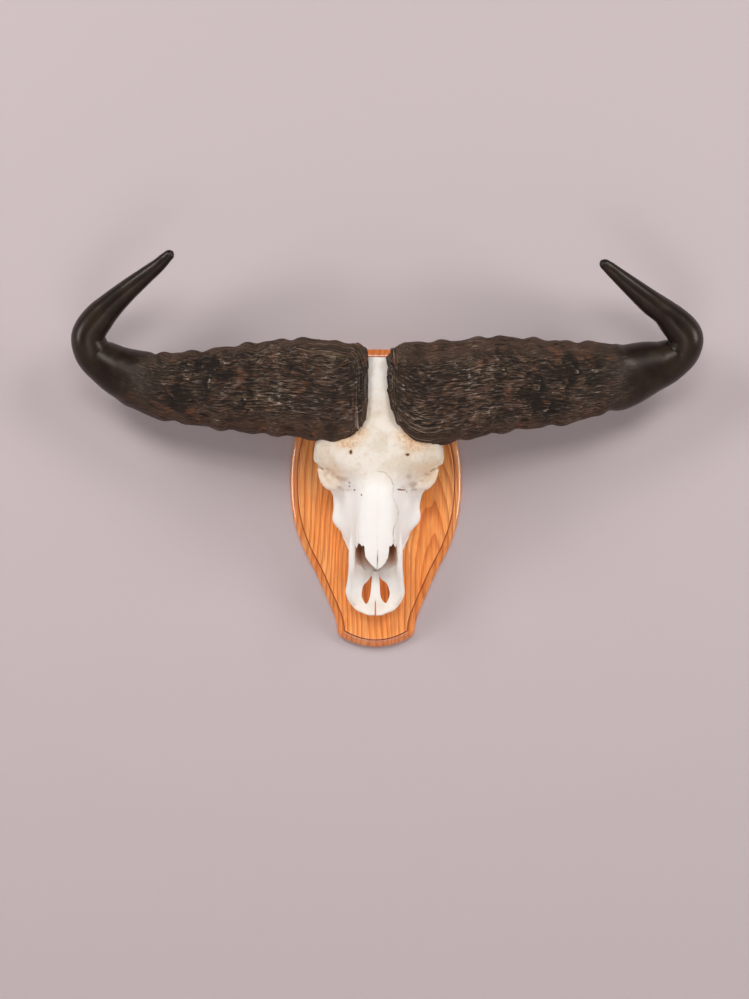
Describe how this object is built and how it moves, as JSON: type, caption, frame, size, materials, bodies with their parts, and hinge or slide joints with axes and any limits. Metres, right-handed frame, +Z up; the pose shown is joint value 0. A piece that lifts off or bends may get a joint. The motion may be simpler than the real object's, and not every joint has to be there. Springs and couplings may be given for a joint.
{
  "type": "mounted cape buffalo skull",
  "caption": "Bleached buffalo skull with wide drooping horns that hook upwards, fixed face outwards on a shield-shaped oak wall plaque.",
  "frame": {"origin": "centre of the plaque's back face, which lies flat on the wall", "axes": "+Y into the wall, so the skull faces -Y; +Z up; +X to the right of someone who looks at the skull, along the spread of the horns"},
  "size_m": [1.0391, 0.1847, 0.654],
  "materials": {
    "oak": "honey stain under clear gloss lacquer",
    "bone": "bleached dry bone, matte",
    "keratin": "fibrous and rough at the base, semi-polished at the tips"
  },
  "bodies": {
    "root": {"plaque": "oak", "skull": "bone", "horn_left": "keratin", "horn_right": "keratin"}
  },
  "joints": []
}
